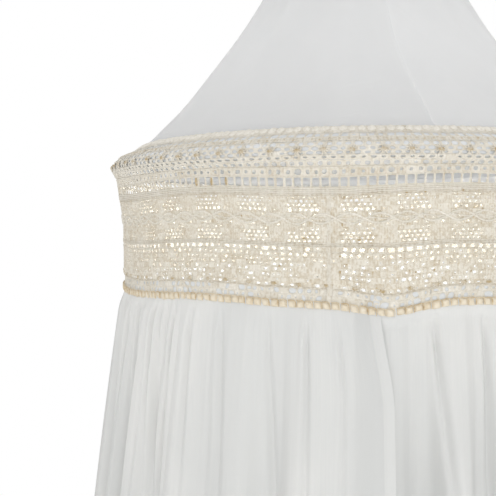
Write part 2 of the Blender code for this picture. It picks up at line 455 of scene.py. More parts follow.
@dataclass(frozen=True)
class VoileFinish:
    """White cotton voile: fine weave, soft vertical slubs and a faint crinkle.

    Tint 1 is cloth laid double, and on the crown's casing its lighter colour is also painted light against
    the shade behind the lace; tint -1 is a hem. Glow is the share of light that passes through, slub the
    strength of the streaks, and thread the metres from one thread to the next.
    """

    name: str
    pale: Colour
    shade: Colour
    double: Colour
    hem: Colour
    glow: float
    slub: float = 0.5
    thread: float = 0.0011

    def make(self) -> Material:
        """Makes the material.

        Returns:
            The material.
        """
        shader = Shader(self.name)
        cloth, tint = shader.cloth(), shader.tint()
        along, down, _ = shader.node("ShaderNodeSeparateXYZ", {}, {0: cloth})
        streak = shader.noise(cloth, 260.0, 2.0, (1, 0.03, 1))
        broad = shader.noise(shader.place(), 9.0, 3.0, (1, 1, 0.35))
        crinkle = shader.noise(cloth, 90.0, 4.0, (1, 0.35, 1))
        share = broad.clipped(0.35, 0.65) * 0.6 + streak.clipped(0.3, 0.7) * 0.4 * self.slub
        colour = shader.blend(share.clipped(0.1, 0.9), self.shade, self.pale)
        colour = shader.blend(tint, colour, self.double)
        colour = shader.blend(tint * -1.0, colour, self.hem)
        weave = (along * (TURN / self.thread)).sine() * (down * (TURN / self.thread)).sine()
        normal = shader.bump(weave * 0.12 + crinkle * 0.8 + streak * 0.35, 0.0007, 0.55)
        through = tuple((light + dark) / 2 for light, dark in zip(self.pale, self.shade))
        return shader.finish(colour, 0.86 + streak * 0.1, normal, 0.15, self.glow, through)


@dataclass(frozen=True)
class YarnFinish:
    """Twisted cotton yarn, bright at tint -0.5 and ochre at tint 1.

    Glow is the share of light that passes through. A twist of the yarn is ply metres along and lay down.
    On the lace, bright is mostly a painted highlight on crests and picots, and the darker cream and ochre are
    mostly painted shade in hollows, under the yarns and where the far lace shows through in shade.
    """

    name: str
    bright: Colour
    pale: Colour
    cream: Colour
    ochre: Colour
    glow: float
    ply: float = 0.0012
    lay: float = 0.0016

    def make(self) -> Material:
        """Makes the material.

        Returns:
            The material.
        """
        shader = Shader(self.name)
        place = shader.place()
        along, down, _ = shader.node("ShaderNodeSeparateXYZ", {}, {0: shader.cloth()})
        mottle = shader.noise(place, 380.0, 3.0)
        patch = shader.noise(place, 60.0, 3.0)
        level = shader.tint() + (mottle - 0.5) * 1.35 + (patch - 0.5) * 0.5
        # Tint picks the colour: the bright end is painted highlight, the cream and ochre end mostly painted
        # shade.
        colour = shader.blend(level.clipped(-0.5, 0.0), self.bright, self.pale)
        colour = shader.blend(level.clipped(0.0, 0.55), colour, self.cream)
        colour = shader.blend(level.clipped(0.5, 1.0), colour, self.ochre)
        twist = (along * (TURN / self.ply) + down * (TURN / self.lay) + mottle * 5.0).sine()
        normal = shader.bump(twist * 0.5 + mottle * 1.4, 0.0006, 0.6)
        return shader.finish(colour, 0.84 + mottle * 0.14, normal, 0.1, self.glow, self.pale)


@dataclass(frozen=True)
class WireFinish:
    """Painted steel wire with a satin coat and small specks."""

    name: str = "painted_hoop_wire"
    coat: Colour = (0.30, 0.30, 0.29)
    speck: Colour = (0.22, 0.21, 0.20)

    def make(self) -> Material:
        """Makes the material.

        Returns:
            The material.
        """
        shader = Shader(self.name)
        speck = shader.noise(shader.place(), 900.0, 2.0)
        colour = shader.blend(speck.clipped(0.62, 0.7), self.coat, self.speck)
        return shader.finish(colour, 0.35 + speck * 0.2, shader.bump(speck, 0.0001, 0.3), 0.0)


CROWN_VOILE = VoileFinish(
    name="crown_voile",
    pale=(0.631, 0.636, 0.641),
    shade=(0.607, 0.612, 0.617),
    double=(0.749, 0.765, 0.779),
    hem=(0.699, 0.699, 0.699),
    glow=0.2,
    slub=0.3,
)
DRAPE_VOILE = VoileFinish(
    name="drape_voile",
    pale=(0.649, 0.649, 0.634),
    shade=(0.597, 0.602, 0.592),
    double=(0.639, 0.654, 0.662),
    hem=(0.752, 0.752, 0.733),
    glow=0.10,
)
CROCHET_COTTON = YarnFinish(
    name="crochet_cotton",
    bright=(0.851, 0.814, 0.741),
    pale=(0.741, 0.7, 0.613),
    cream=(0.604, 0.539, 0.43),
    ochre=(0.457, 0.348, 0.192),
    glow=0.02,
)
EDGE_COTTON = YarnFinish(
    name="edge_cotton",
    bright=(0.851, 0.796, 0.695),
    pale=(0.805, 0.722, 0.576),
    cream=(0.704, 0.594, 0.421),
    ochre=(0.549, 0.403, 0.22),
    glow=0.05,
)
COTTON_TAPE = YarnFinish(
    name="cotton_tape",
    bright=(0.80, 0.80, 0.78),
    pale=(0.76, 0.76, 0.74),
    cream=(0.66, 0.66, 0.63),
    ochre=(0.5, 0.49, 0.46),
    glow=0.05,
)


@dataclass(frozen=True)
class Hand:
    """How far hand-worked stitches stray: shares of a cell, metres of lift and steps of tint."""

    opening: float = 0.26
    edge: float = 0.10
    size: float = 0.10
    lean: float = 0.14
    lift: float = 0.00012
    shade: float = 0.10
    stitch_shade: float = 0.08


HAND = Hand()


@dataclass(frozen=True)
class CellRow:
    """One row of crochet openings, measured in millimetres above the hoop.

    Each opening's size is a share of its cell, and square is 0 for a round opening and 1 for a squared one.
    The chart has a letter for each cell of the repeat: # is worked solid, and . o O are small, middling and
    large openings. Offset moves the row by a share of a cell, and shut is the share of cells worked solid by
    chance. Crest and deep are the rope's rise and the hole's depth and sink is how far the row lies below the
    lace's outer face, all in metres. Contrast is how far the rope's tints spread round the row's own.
    """

    top: float
    foot: float
    cells: int
    wide: float = 0.1
    tall: float = 0.1
    square: float = 0.3
    offset: float = 0.0
    uneven: float = 0.5
    shut: float = 0.0
    chart: str = ""
    sides: int = 8
    crest: float = 0.0003
    deep: float = 0.0004
    sink: float = 0.0
    # Contrast scales the rope's painted shade and highlight.
    contrast: float = 0.7
    tint: float = 0.25

    def openings(self, chance: Chance) -> np.ndarray:
        """How open each cell is.

        Args:
            chance: the seeded source of its unevenness.

        Returns:
            A share for each cell, from 0 for solid work.
        """
        sizes = {"#": 0.0, ".": 0.5, "o": 0.84, "O": 1.12}
        share = np.ones(self.cells)
        if self.chart:
            share = np.array([sizes[self.chart[number % len(self.chart)]] for number in range(self.cells)])
        share = share * np.clip(1 + chance.normal(0, HAND.opening * self.uneven, self.cells), 0.5, 1.5)
        return np.where(chance.random(self.cells) < self.shut, 0.0, share)

    def work(self, bag: MeshBag, chance: Chance) -> None:
        """Adds the row's stitches to the strip.

        Args:
            bag: the strip's mesh.
            chance: the seeded source of its unevenness.
        """
        join_middle, join_reach, join_share, join_top = JOIN_ANGLE + 0.010, 0.026, 0.85, -34
        step = TURN / self.cells
        edge = FIRST_SEAM + (np.arange(self.cells) + self.offset) * step
        edge = edge + chance.normal(0, HAND.edge * self.uneven, self.cells) * step
        after = np.append(edge[1:], edge[0] + TURN)
        share = self.openings(chance)
        joined = np.abs(turn_between((edge + after) / 2, join_middle)) < join_reach
        joined = joined & (chance.random(self.cells) < join_share)
        share = np.where(joined & (self.top < join_top), 0.0, share)
        shade = self.tint + chance.normal(0, HAND.shade, self.cells)
        is_open = share > 0
        sides = np.stack([edge, after])
        self.ringed(bag, chance, sides[:, is_open], share[is_open], shade[is_open])
        self.solid(bag, chance, sides[:, ~is_open], shade[~is_open])

    def hole(self, form: np.ndarray, share: np.ndarray, chance: Chance) -> np.ndarray:
        """The outline of each opening.

        Args:
            form: the outline of a full opening, from -1 to 1 across and up its cell.
            share: how open each cell is.
            chance: the seeded source of its unevenness.

        Returns:
            Places across and up each cell, from -1 to 1.
        """
        size = np.stack([share * self.wide, share * self.tall], axis=-1)
        size = np.clip(size * (1 + chance.normal(0, HAND.size * self.uneven, size.shape)), 0.06, 0.94)
        middle = chance.normal(0, HAND.edge * self.uneven, size.shape) * (1 - size)
        lean = chance.normal(0, HAND.lean * self.uneven, len(share))
        hole = form[None] * size[:, None]
        hole[..., 0] += lean[:, None] * form[None, :, 1] * size[:, None, 1]
        return np.clip(hole + middle[:, None], -0.95, 0.95)

    def ringed(
        self, bag: MeshBag, chance: Chance, sides: np.ndarray, share: np.ndarray, shade: np.ndarray
    ) -> None:
        """Adds cells with an opening, each a raised rope of yarn round its hole.

        Args:
            bag: the strip's mesh.
            chance: the seeded source of its unevenness.
            sides: the turns of each cell's two sides.
            share: how open each cell is.
            shade: each cell's tint.
        """
        reach = np.array([0.0, 0.5, 0.92, 1.0])[None, :, None, None]
        lifts = np.array([-0.0001, self.crest, 0.0001, -self.deep])[None, :, None]
        # Painted shade and highlight: the rope is darker in the valley at the cell's edge and at the hole's
        # sunk rim, and lighter on its crest.
        tints = np.array([0.34, -0.16, 0.0, 0.42])[None, :, None]
        turn = around(self.sides)
        round_form = np.stack([np.cos(turn), np.sin(turn)], axis=-1)
        square_form = round_form / np.abs(round_form).max(axis=1, keepdims=True)
        form = round_form * (1 - self.square) + square_form * self.square
        hole = self.hole(form, share, chance)[:, None]
        local = square_form * (1 - reach) + hole * reach
        middle, half = (sides[0] + sides[1]) / 2, (sides[1] - sides[0]) / 2
        angle = middle[:, None, None] + local[..., 0] * half[:, None, None]
        height = (self.top + self.foot) / 2 + local[..., 1] * (self.top - self.foot) / 2
        lift = lifts + chance.normal(0, HAND.lift, angle.shape) - self.sink
        tint = self.contrast * tints + shade[:, None, None]
        faces = grid_faces(4, self.sides, True)[:, TURNED_OVER]
        bag.add_copies(BAND.place(angle, height / 1000, lift), faces, tint, band_cloth(angle, height))

    def solid(self, bag: MeshBag, chance: Chance, sides: np.ndarray, shade: np.ndarray) -> None:
        """Adds cells that are worked solid, each two upright stitches side by side.

        Args:
            bag: the strip's mesh.
            chance: the seeded source of its unevenness.
            sides: the turns of each cell's two sides.
            shade: each cell's tint.
        """
        across = np.array([0, 0.25, 0.5, 0.75, 1.0])
        relief = np.array([-0.0001, 0.0003, 0.0, 0.0003, -0.0001])
        # Painted shade and highlight: darker where the cell's edges and the groove between its stitches sink,
        # lighter on the raised stitches.
        colour = np.array([0.18, -0.08, 0.08, -0.08, 0.18])
        down = np.array([1.0, 0.5, 0.0])[None, :, None]
        belly = np.array([0.5, 1.0, 0.5])[None, :, None]
        shape = (len(shade), 3, 5)
        angle = sides[0][:, None, None] + across * (sides[1] - sides[0])[:, None, None]
        height = self.foot + down * (self.top - self.foot)
        lift = relief * belly + chance.normal(0, HAND.lift, shape) - self.sink
        tint = shade[:, None, None] + colour + chance.normal(0, HAND.stitch_shade, shape)
        points = BAND.place(angle, height / 1000, lift)
        bag.add_copies(points, grid_faces(3, 5, False), tint, band_cloth(angle, height))


def rope(line: np.ndarray, out: np.ndarray, half: np.ndarray, sides: int, closed: bool) -> np.ndarray:
    """Points of round yarns along lines.

    Args:
        line: places along each yarn.
        out: a step off the cloth at each place.
        half: half the yarn's thickness there, in metres.
        sides: how many sides a yarn has.
        closed: whether each yarn runs all the way round.

    Returns:
        A ring of points for each place.
    """
    ahead = np.roll(line, -1, axis=1) - np.roll(line, 1, axis=1) if closed else np.gradient(line, axis=1)
    ahead = unit(ahead)
    side = unit(np.cross(ahead, out))
    rise = np.cross(side, ahead)
    turn = around(sides)[:, None]
    ring = side[..., None, :] * np.cos(turn) + rise[..., None, :] * np.sin(turn)
    return line[..., None, :] + ring * np.broadcast_to(half, line.shape[:-1])[..., None, None]


def yarns(
    bag: MeshBag,
    angle: np.ndarray,
    height: np.ndarray,
    lift: Numbers,
    half: np.ndarray,
    tint: np.ndarray,
    closed: bool = False,
    sides: int = 6,
) -> None:
    """Adds yarns that lie on the lace, with painted shade that makes them darker below than on top.

    Args:
        bag: the mesh that takes them.
        angle: the turn of each point of each yarn.
        height: its height in millimetres above the hoop.
        lift: metres that it lies off the lace's outer face.
        half: half the yarn's thickness, in metres.
        tint: its tint.
        closed: whether each yarn runs all the way round.
        sides: how many sides a yarn has.
    """
    # Painted shade under each yarn, and a step off the cloth in metres.
    painted_under_shade, step_out = 0.12, 0.001
    line = BAND.place(angle, height / 1000, lift)
    out = BAND.place(angle, height / 1000, lift + step_out) - line
    faces = grid_faces(angle.shape[1], sides, True, closed)[:, FROM_SECOND_CORNER]
    shade = np.broadcast_to(tint, angle.shape)[..., None] + painted_under_shade * (1 - np.sin(around(sides)))
    cloth = band_cloth(angle, height)[..., None, :]
    bag.add_copies(rope(line, out, half, sides, closed), faces, shade, cloth)


def ring_yarn(
    bag: MeshBag, turn: np.ndarray, height: np.ndarray, lift: float, half: np.ndarray, tint: np.ndarray
) -> None:
    """Adds one yarn that runs all the way round the band, given as yarns takes it."""
    yarns(bag, (FIRST_SEAM + turn)[None], height[None], lift, half[None], tint[None], True, 5)


@dataclass(frozen=True)
class Chain:
    """A line of chain stitches round the band, its height in millimetres above the hoop."""

    height: float
    half_thick: float = 0.0008
    lift: float = 0.0002
    tint: float = 0.2
    stitches: int = 432
    steps: int = 3
    beads: float = 0.35
    drift: float = 0.12

    def work(self, bag: MeshBag, chance: Chance) -> None:
        """Adds the chain to the strip.

        Args:
            bag: the mesh that takes it.
            chance: the seeded source of its unevenness.
        """
        turn = around(self.stitches * self.steps)
        swell = np.abs(np.sin(turn * self.stitches / 2))
        drift = np.sin(turn * 11 + chance.random() * TURN) + np.sin(turn * 29 + chance.random() * TURN)
        half = self.half_thick * (1 - self.beads + self.beads * swell)
        # Painted shade: the chain is darker in the narrow necks between its beads.
        tint = self.tint + 0.18 * (1 - swell) + np.repeat(chance.normal(0, 0.06, self.stitches), self.steps)
        ring_yarn(bag, turn, self.height + self.drift * drift, self.lift, half, tint)


@dataclass(frozen=True)
class Braid:
    """A raised braid that swings up and down along the strip, and meets its mirror image in leaf shapes."""

    height: float
    swing: float
    waves: int
    phase: float
    half_thick: float = 0.0013
    stitches: int = 324
    steps: int = 4
    lift: float = 0.0001

    def work(self, bag: MeshBag, chance: Chance) -> None:
        """Adds the braid to the strip.

        Args:
            bag: the mesh that takes it.
            chance: the seeded source of its unevenness.
        """
        turn = around(self.stitches * self.steps)
        drift = 0.5 * np.sin(5 * turn + self.phase) + 0.4 * np.sin(17 * turn + 2 * self.phase)
        height = self.height + self.swing * np.sin(self.waves * turn + self.phase + 0.25 * drift)
        height = height + 0.6 * drift
        swell = np.abs(np.sin(turn * self.stitches))
        half = self.half_thick * (0.75 + 0.25 * swell)
        # Painted shade: the braid is darker in the narrow necks between its stitches.
        tint = -0.12 + 0.2 * (1 - swell) + np.repeat(chance.normal(0, 0.05, self.stitches), self.steps)
        ring_yarn(bag, turn, height, self.lift, half, tint)


def spots(
    bag: MeshBag,
    turn: np.ndarray,
    height: np.ndarray,
    half_wide: np.ndarray,
    half_tall: np.ndarray,
    rise: float,
    tint: float,
    base: float = 0.0,
) -> None:
    """Adds small domed stitches.

    Args:
        bag: the mesh that takes them.
        turn: each one's turn round the hoop.
        height: each one's height in millimetres above the hoop.
        half_wide: half its width in millimetres.
        half_tall: half its height in millimetres.
        rise: metres that it stands off the lace.
        tint: its tint.
        base: metres that its foot stands off the lace's outer face.
    """
    sides, rings = 8, 3
    share = np.array([1.0, 0.6, 0.15])[:, None]
    lift = base + np.array([-0.0004, 0.75 * rise, rise])
    shade = np.array([tint - 0.25, tint, tint])
    across, upright = share * np.cos(around(sides)), share * np.sin(around(sides))
    angle = turn[:, None, None] + turn_of(across * half_wide[:, None, None])
    tall = height[:, None, None] + upright * half_tall[:, None, None]
    cap = np.array([[16, 17, 18, 19], [16, 19, 20, 23], [20, 21, 22, 23]])
    faces = np.concatenate([grid_faces(rings, sides, True)[:, TURNED_OVER], cap])
    points = BAND.place(angle, tall / 1000, lift[None, :, None])
    bag.add_copies(points, faces, shade[None, :, None], band_cloth(angle, tall))


@dataclass(frozen=True)
class Knots:
    """A row of ochre knots, each with threads that fan out of it, in millimetres."""

    height: float
    threads: int
    reach: float
    count: int = 72
    half_wide: float = 3.3
    half_tall: float = 2.3
    rise: float = 0.0012
    tint: float = 0.74

    def work(self, bag: MeshBag, chance: Chance) -> None:
        """Adds the knots and their threads to the strip.

        Args:
            bag: the strip's mesh.
            chance: the seeded source of their unevenness.
        """
        step = TURN / self.count
        turn = FIRST_SEAM + (np.arange(self.count) + 0.5) * step + chance.normal(0, 0.04, self.count) * step
        height = self.height + chance.normal(0, 0.35, self.count)
        share = np.linspace(0.12, 1.0, 4)
        for number in range(self.threads):
            way = TURN * (number + 0.5) / self.threads + chance.normal(0, 0.12, self.count)
            far = self.reach * (1 + chance.normal(0, 0.12, self.count))
            across = turn[:, None] + turn_of(far[:, None] * share * np.cos(way)[:, None])
            upright = height[:, None] + far[:, None] * share * np.sin(way)[:, None]
            tint = 0.36 - 0.36 * share + chance.normal(0, 0.07, (self.count, 1))
            yarns(bag, across, upright, 0.0002 - 0.0008 * share, 0.00075 - 0.0002 * share, tint)
        wide, tall = np.full(self.count, self.half_wide), np.full(self.count, self.half_tall)
        spots(bag, turn, height, wide, tall, self.rise, self.tint)


@dataclass(frozen=True)
class Scallops:
    """A row of plump picots, in millimetres but for rise and base, which are metres off the lace."""

    height: float
    count: int
    half_wide: float
    half_tall: float
    rise: float
    tint: float
    base: float

    def work(self, bag: MeshBag, chance: Chance) -> None:
        """Adds the picots to the strip.

        Args:
            bag: the strip's mesh.
            chance: the seeded source of their unevenness.
        """
        turn = FIRST_SEAM + (np.arange(self.count) + chance.normal(0, 0.06, self.count)) * TURN / self.count
        height = self.height + chance.normal(0, 0.25, self.count)
        wide = self.half_wide * (1 + chance.normal(0, 0.06, self.count))
        tall = self.half_tall * (1 + chance.normal(0, 0.08, self.count))
        spots(bag, turn, height, wide, tall, self.rise, self.tint, self.base)


@dataclass(frozen=True)
class LaceStrip:
    """One strip of the crochet band, from its rows, chains, knots and ochre stitches, which are painted
    shadow.

    Each ochre stitch has its turn in degrees, and its height, width and depth in millimetres. Flat, the
    strip's cut length and depth in metres, is not used.
    """

    name: str
    node: str
    rows: tuple[CellRow, ...]
    chains: tuple[Chain, ...]
    ochre: tuple[tuple[float, float, float, float], ...]
    flat: tuple[float, float]
    seed: int
    knots: tuple[Knots, ...] = ()
    scallops: tuple[Scallops, ...] = ()
    braids: tuple[Braid, ...] = ()

    def join_strip(self, bag: MeshBag, chance: Chance) -> None:
        """Adds the strip's sewn join, where its two ends overlap.

        Args:
            bag: the strip's mesh.
            chance: the seeded source of its unevenness.
        """
        rows, columns, highest, half_wide = 40, 7, -31.0, 2.6
        height = np.linspace(min(highest, self.rows[0].top), self.rows[-1].foot, rows)[:, None]
        across = np.linspace(-1, 1, columns)
        drift = 0.35 * np.sin(height / 4.1) + 0.25 * np.sin(height / 1.7)
        angle = JOIN_ANGLE + turn_of(across * half_wide + drift)
        ribs = np.cos(across * 9)
        lift = 0.0008 * (1 - across**2) ** 0.5 + 0.0002 * ribs - 0.0003
        lift = lift + chance.normal(0, 0.00015, (rows, columns))
        tint = 0.12 + 0.1 * ribs + chance.normal(0, 0.1, (rows, columns))
        points = BAND.place(angle, height / 1000, lift)
        bag.add(points, grid_faces(rows, columns, False), tint, band_cloth(angle, height))

    def build(self, finish: Material) -> None:
        """Args:
            finish: the yarn's material.
        """
        chance = np.random.default_rng(self.seed)
        bag = MeshBag()
        for part in self.rows + self.knots + self.scallops:
            part.work(bag, chance)
        # Ochre spots: painted shadow, where the far lace shows through the front's holes in shade.
        turn, height, wide, tall = np.array(self.ochre).T
        spots(bag, np.radians(turn), height, wide / 2, tall / 2, 0.0009, 0.9)
        self.join_strip(bag, chance)
        piece = bag.piece(self.name, finish, Slot.CROCHET)
        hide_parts(self.node)
        lines = MeshBag()
        for line in self.chains + self.braids:
            line.work(lines, chance)
        chains = lines.piece(f"{self.name}_chains", finish, Slot.CROCHET)


@dataclass(frozen=True)
class StitchedEdge:
    """The cord that closes the band: pillow stitches with a darker thread between them.

    Top and foot are in millimetres above the hoop, thick and base in metres off the band.
    """

    stitches: int = 216
    top: float = -136.2
    foot: float = -143.4
    thick: float = 0.0017
    base: float = -0.0016
    deepest: float = -0.0028

    def build(self, finish: Material) -> None:
        """Works the stitches and the thread that laps them.

        Args:
            finish: the cord's material.
        """
        chance = np.random.default_rng(SEED + 5)
        bag = MeshBag()
        across = np.array([0.03, 0.10, 0.30, 0.55, 0.80, 0.94])
        puff = np.array([0.0, 0.75, 1.0, 1.0, 0.8, 0.0])
        down = np.array([0.0, 0.12, 0.35, 0.6, 0.85, 1.0, 1.0])[None, :, None]
        belly = np.array([0.0, 0.8, 1.0, 1.0, 0.75, 0.1, -1.0])[None, :, None]
        step = TURN / self.stitches
        start = FIRST_SEAM + np.arange(self.stitches) * step + chance.normal(0, 0.06, self.stitches) * step
        slant = chance.normal(0.08, 0.10, self.stitches)[:, None, None]
        angle = start[:, None, None] + (across + slant * (down - 0.5)) * step
        tall = self.top - self.foot + chance.normal(0, 0.35, self.stitches)[:, None, None]
        plump = self.thick * (1 + chance.normal(0, 0.12, self.stitches))[:, None, None]
        lift = np.maximum(self.base + plump * belly * puff * 1.5, self.deepest)
        # Painted shade: each stitch is darker at its sides and towards its top and foot, where it dips
        # between its neighbours.
        tint = 0.06 + 0.22 * (1 - puff) + 0.12 * (1 - np.abs(belly))
        tint = tint + chance.normal(0, 0.08, self.stitches)[:, None, None]
        height = self.top - down * tall
        points = self.place(angle, height, lift)
        bag.add_copies(points, grid_faces(7, 6, False), tint, band_cloth(angle, height))
        self.lap(bag, start, step, chance)
        piece = bag.piece("edge_stitching", finish, Slot.CORD)
        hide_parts("edge_cord")

    def place(self, angle: np.ndarray, height: np.ndarray, lift: np.ndarray) -> np.ndarray:
        """Places on the cord, which follows the dips of its top edge all the way down."""
        shift = BAND.row_shift(angle, np.full_like(angle, -0.1365))
        return at(angle, BAND.radius(height / 1000) + lift, height / 1000 + shift)

    def lap(self, bag: MeshBag, start: np.ndarray, step: float, chance: Chance) -> None:
        """Adds the tan thread along each stitch's top and down its right side.

        Args:
            bag: the cord's mesh.
            start: the turn where each stitch starts.
            step: the turn from one stitch to the next.
            chance: the seeded source of its unevenness.
        """
        sides, step_out = 5, 0.001
        across = np.array([0.06, 0.35, 0.70, 0.90, 0.97, 0.99, 1.0])
        down = np.array([0.02, -0.02, -0.02, 0.06, 0.35, 0.7, 0.98])
        lift = np.array([0.0007, 0.0012, 0.0012, 0.0012, 0.0013, 0.0012, 0.0006])
        half = np.array([0.0003, 0.00045, 0.0005, 0.0005, 0.00045, 0.0004, 0.0003])
        angle = start[:, None] + across * step
        height = self.top - down * (self.top - self.foot) + chance.normal(0, 0.15, angle.shape)
        line = self.place(angle, height, lift)
        out = self.place(angle, height, lift + step_out) - line
        tint = 0.60 + chance.normal(0, 0.14, (self.stitches, 1, 1))
        faces = grid_faces(len(across), sides, True)[:, FROM_SECOND_CORNER]
        cloth = band_cloth(angle, height)[..., None, :]
        bag.add_copies(rope(line, out, half, sides, False), faces, tint, cloth)


@dataclass(frozen=True)
class Crown:
    """The pointed top: four voile gores whose lower hems wrap the hoop.

    Each row gives a height above the hoop, the radius there and half the depth of the flutes. Each pair named
    for what grows or fades in it is a stretch of height.
    """

    rows: tuple[Triple, ...] = (
        (0.478, 0.0390, 0.0040),
        (0.450, 0.0330, 0.0040),
        (0.424, 0.0330, 0.0040),
        (0.380, 0.0480, 0.0050),
        (0.300, 0.0750, 0.0055),
        (0.220, 0.1110, 0.0045),
        (0.160, 0.1470, 0.0030),
        (0.105, 0.1898, 0.0014),
        (0.065, 0.2226, 0.0005),
        (0.042, 0.2454, 0.0),
    )
    under_lace: float = 0.0017
    gores: int = 4
    flutes: int = 12
    columns: int = 72
    wire: float = 0.003
    wrap: float = 0.0024
    hoop_radius: float = 0.2946
    hoop_height: float = -0.002
    gather: float = 0.0016
    gather_grows: tuple[float, float] = (0.30, 0.42)
    ripple: float = 0.0014
    ripple_grows: tuple[float, float] = (0.045, 0.105)
    ripple_fades: tuple[float, float] = (0.34, 0.44)
    seam_grows: tuple[float, float] = (0.012, 0.032)
    seam_half: float = 0.0022
    groove_at: float = 0.0046
    groove_half: float = 0.0012
    twist: float = math.radians(3.6)
    twist_fades: tuple[float, float] = (0.02, 0.14)
    casing_top: float = 0.003
    casing_grows: tuple[float, float] = (0.024, 0.021)
    tuft_grows: tuple[float, float] = (0.445, 0.455)

    def outline(self) -> np.ndarray:
        """The outline down a gore, from its tuft over its foot and round the wire.

        Returns:
            Height, radius and flute depth, one row a point.
        """
        points = list(self.rows)
        for (height, radius), (below, wider) in zip(BAND.profile[:4], BAND.profile[1:5]):
            share = self.under_lace / math.hypot(wider - radius, height - below)
            points.append((height - (wider - radius) * share, radius - (height - below) * share, 0.0))
        reach = self.wire + self.wrap
        for turn in np.radians(np.arange(0, 181, 30)):
            height = self.hoop_height - reach * math.sin(turn)
            points.append((height, self.hoop_radius + reach * math.cos(turn), 0.0))
        points.append((self.hoop_height + 0.0040, self.hoop_radius - reach, 0.0))
        return self.smoothed(np.array(points))

    def smoothed(self, points: np.ndarray) -> np.ndarray:
        """Cuts the corners off an outline three times.

        Args:
            points: one row a point.

        Returns:
            The smoother outline with the same ends.
        """
        for _ in range(3):
            early = points[:-1] * 0.75 + points[1:] * 0.25
            late = points[:-1] * 0.25 + points[1:] * 0.75
            middle = np.stack([early, late], axis=1).reshape(-1, 3)
            points = np.concatenate([points[:1], middle, points[-1:]])
        return points

    def build(self, finish: Material) -> None:
        """Cuts and sews the gores."""
        for number in range(self.gores):
            self.gore(number, finish)

    def gore(self, number: int, finish: Material) -> None:
        """Makes one gore with the half seams along its sides.

        Args:
            number: which gore it is, from 0.
            finish: the voile.
        """
        outline = self.outline()
        height, radius, depth = outline.T[..., None]
        share = np.linspace(0, 1, self.columns + 1)
        share = share - 0.0162 * np.sin(TURN * share)
        angle = FIRST_SEAM + (number + share) * TURN / self.gores
        crest = (1 - np.cos(self.flutes * (angle - FIRST_SEAM))) / 2
        fine = 0.5 + 0.5 * np.sin(40 * angle + 2.2 * np.sin(3 * angle))
        ripple = np.sin(7 * angle + 9 * height) + 0.6 * np.sin(13 * angle - 14 * height + 1.0)
        from_seam = np.minimum(share, 1 - share) * (TURN / self.gores) * radius
        sewn = ramp(height, *self.seam_grows)
        ridge = bell(from_seam / self.seam_half) * sewn
        groove = bell((from_seam - self.groove_at) / self.groove_half) * sewn
        spread = radius - 2 * depth * (1 - crest) - self.gather * ramp(height, *self.gather_grows) * fine
        calm = ramp(height, *self.ripple_grows) * (1 - ramp(height, *self.ripple_fades))
        spread = spread + self.ripple * calm * ripple + 0.0005 * ridge - 0.0001 * groove
        side = np.where(share < 0.5, 1.0, -1.0)
        angle = angle + self.twist * (1 - ramp(height, *self.twist_fades))
        angle = angle + side * 0.00012 * (from_seam < 1e-9) / radius
        inside = ramp(radius, self.hoop_radius, self.hoop_radius - 0.002) * (height < self.casing_top)
        # Cloth laid double at the casing and the tuft; at the casing its lighter colour is also painted light
        # that offsets the shade behind the lace.
        doubled_and_lit = ramp(height, *self.casing_grows) - inside + ramp(height, *self.tuft_grows)
        travelled = np.append(0, np.cumsum(np.hypot(*np.diff(outline[:, :2], axis=0).T)))
        cloth = paired(angle * radius, travelled[:, None])
        bag = MeshBag()
        faces = grid_faces(len(outline), self.columns + 1, False)
        bag.add(at(angle, spread, height), faces, np.clip(0.15 * ridge + doubled_and_lit, 0, 1), cloth)
        piece = bag.piece(f"crown_voile_{number + 1}", finish, Slot.VOILE)
        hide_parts(f"crown_gore_{number + 1}")


